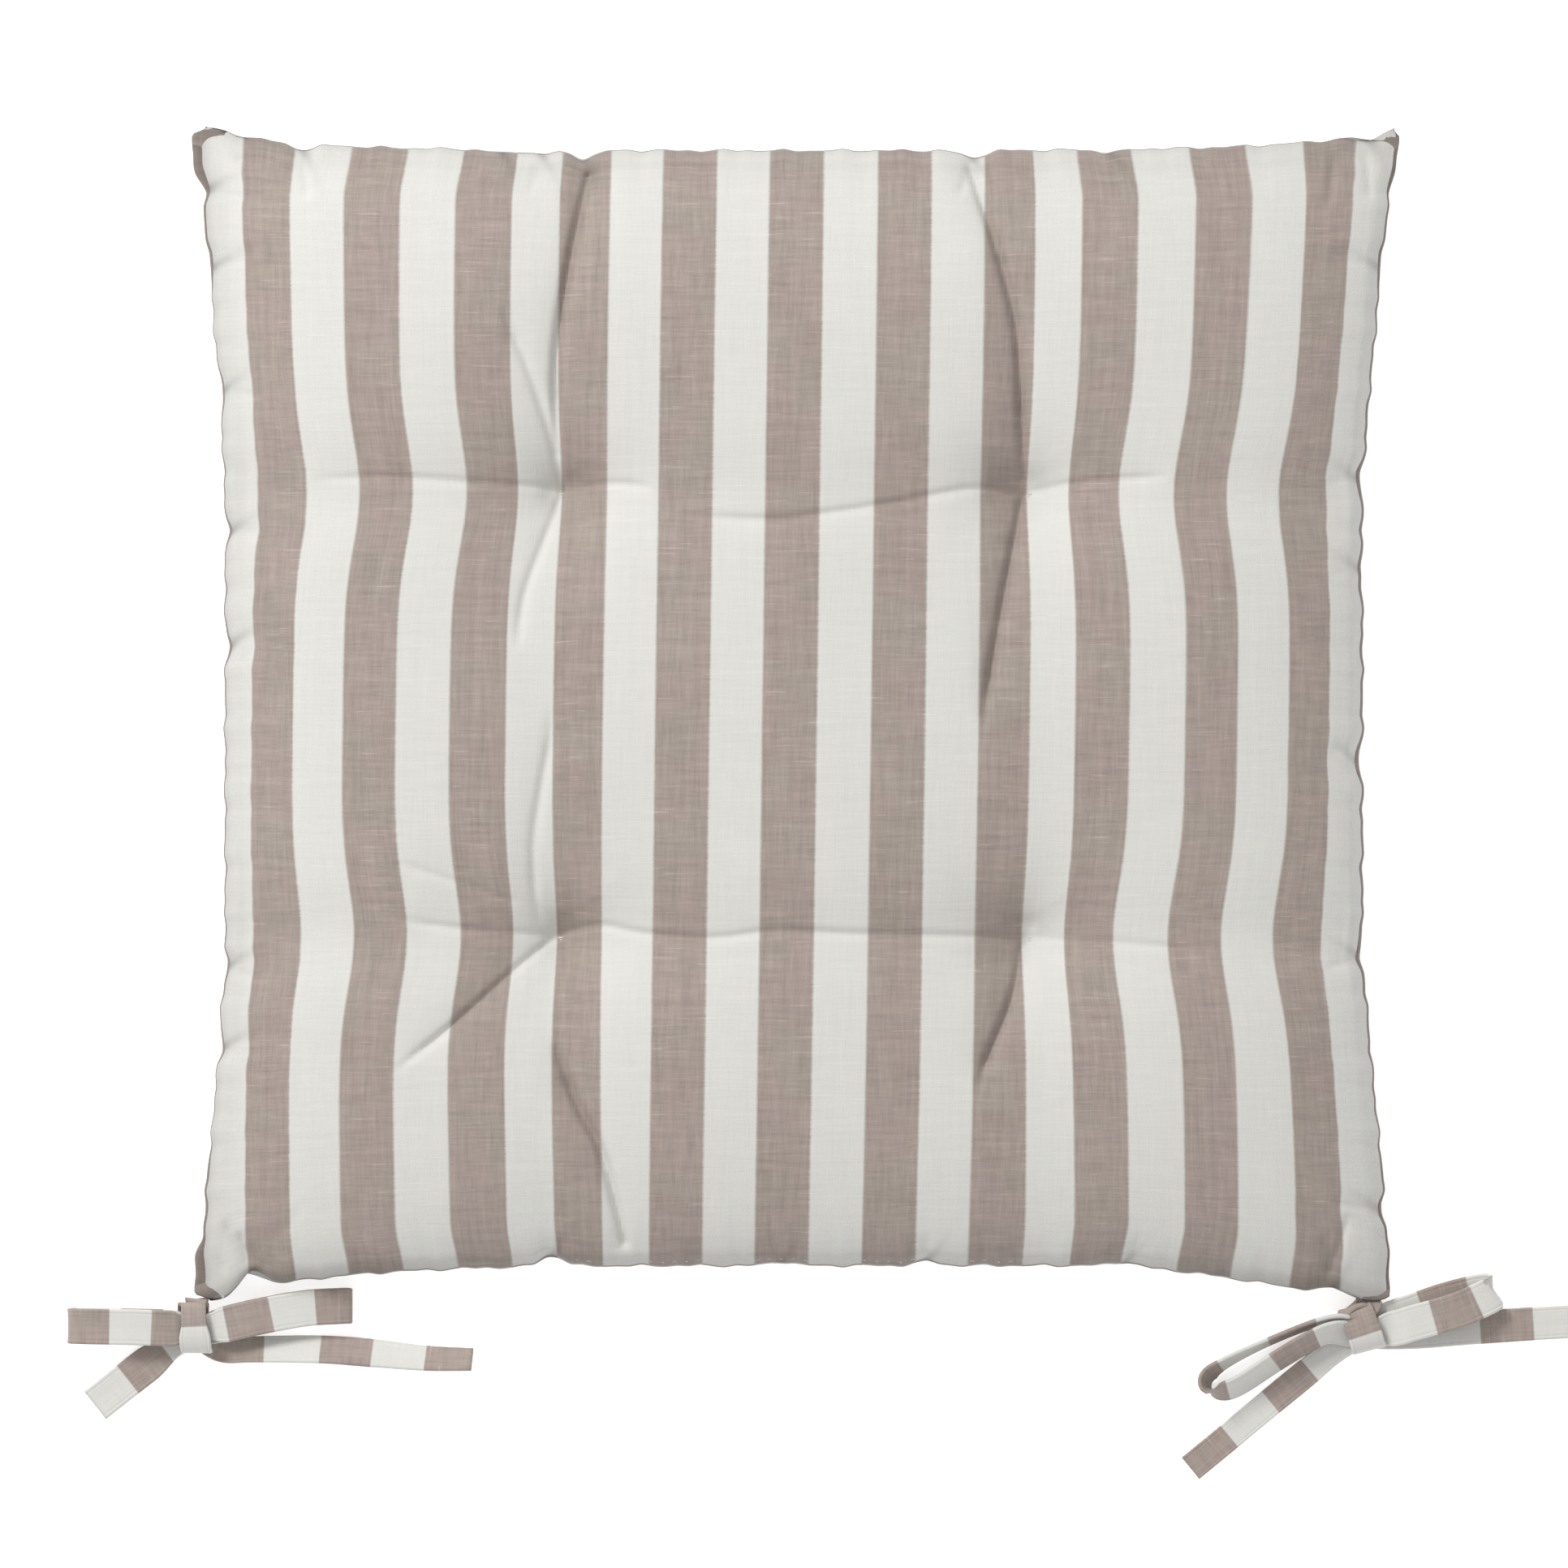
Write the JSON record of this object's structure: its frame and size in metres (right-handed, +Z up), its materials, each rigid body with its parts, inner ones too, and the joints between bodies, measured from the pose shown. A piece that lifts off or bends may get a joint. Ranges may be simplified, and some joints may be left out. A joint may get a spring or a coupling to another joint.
{
  "type": "chair seat pad",
  "caption": "Square tufted seat pad in striped cotton with a fibre filling, and a pair of tie tapes in a bow at each rear corner.",
  "frame": {"origin": "middle of the pad's underside, on the plane it lies on; the tie tapes are not counted", "axes": "+X right, +Y towards the front edge of the seat (the ties are at the rear, -Y), +Z up"},
  "size_m": [0.5246, 0.4514, 0.0433],
  "materials": {
    "striped_cotton": "plain-weave cotton, woven in even grey-brown and off-white stripes, matt",
    "tie_tape": "the same cotton folded into a flat tape, stripes across it, edge-stitched, matt",
    "polyester_fibre": "lofty white fibre batt",
    "cotton_thread": "twisted sewing thread, matt"
  },
  "bodies": {
    "pad": {"top_panel": "striped_cotton", "bottom_panel": "striped_cotton", "fibre_filling": "polyester_fibre", "seam_thread": "cotton_thread", "closing_stitch": "cotton_thread", "tuft_thread_front_left": "cotton_thread", "tuft_thread_front_right": "cotton_thread", "tuft_thread_rear_left": "cotton_thread", "tuft_thread_rear_right": "cotton_thread"},
    "left_bow": {"left_tie_stem": "tie_tape", "left_tie_knot": "tie_tape", "left_tie_outer_loop": "tie_tape", "left_tie_inner_loop": "tie_tape", "left_tie_outer_tail": "tie_tape", "left_tie_inner_tail": "tie_tape"},
    "right_bow": {"right_tie_stem": "tie_tape", "right_tie_knot": "tie_tape", "right_tie_outer_loop": "tie_tape", "right_tie_inner_loop": "tie_tape", "right_tie_outer_tail": "tie_tape", "right_tie_inner_tail": "tie_tape"}
  },
  "joints": [
    {"name": "left_bow_lift", "type": "hinge", "parent": "pad", "child": "left_bow", "pos_m": [-0.2002, -0.196, 0.007], "axis": [-1, 0, 0], "range_deg": [0, 85]},
    {"name": "right_bow_lift", "type": "hinge", "parent": "pad", "child": "right_bow", "pos_m": [0.1924, -0.196, 0.007], "axis": [-1, 0, 0], "range_deg": [0, 85]}
  ]
}
